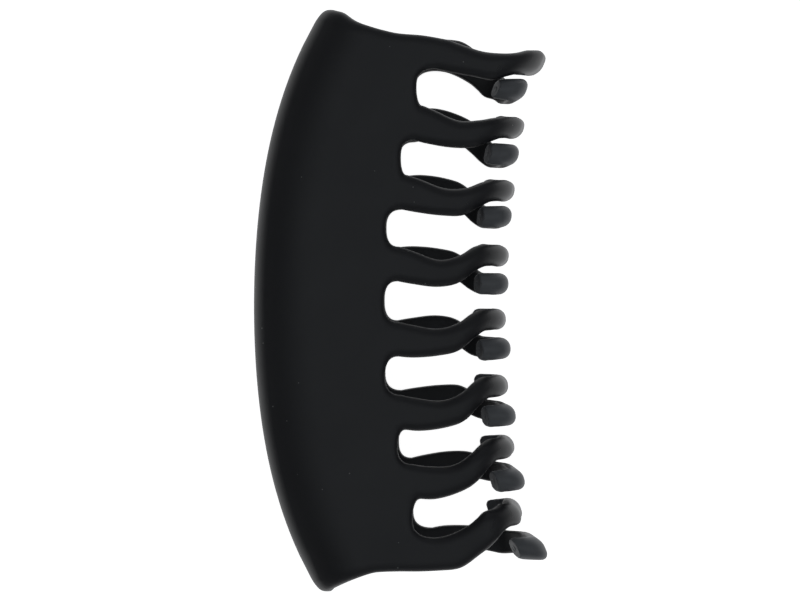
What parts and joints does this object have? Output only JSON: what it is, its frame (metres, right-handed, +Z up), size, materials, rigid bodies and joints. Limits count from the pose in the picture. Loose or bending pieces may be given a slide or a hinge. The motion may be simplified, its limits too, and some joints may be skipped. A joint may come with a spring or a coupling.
{
  "type": "claw hair clip",
  "caption": "Large claw hair clip: two arched plastic jaws with long curved interlocking teeth, hinged on a steel pin and held shut by a torsion spring.",
  "frame": {"origin": "centre of the overall box, at the height of the flat outer face that the clip lies on", "axes": "+X points to the tooth tips, +Y runs along the clip's length, +Z is up, from the lower jaw to the upper jaw"},
  "size_m": [0.056, 0.1108, 0.035],
  "materials": {
    "black_plastic": "soft-touch matte black",
    "spring_steel": "drawn wire"
  },
  "bodies": {
    "lower_half": {"lower_jaw": "black_plastic", "hinge_pin": "spring_steel", "torsion_spring": "spring_steel"},
    "upper_half": {"upper_jaw": "black_plastic", "spring_arm": "spring_steel"}
  },
  "joints": [
    {"name": "jaw_hinge", "type": "hinge", "parent": "lower_half", "child": "upper_half", "pos_m": [-0.014, 0, 0.0175], "axis": [0, -1, 0], "range_deg": [0, 55], "stiffness_Nm_per_rad": 0.08, "springref_deg": -28.65}
  ]
}
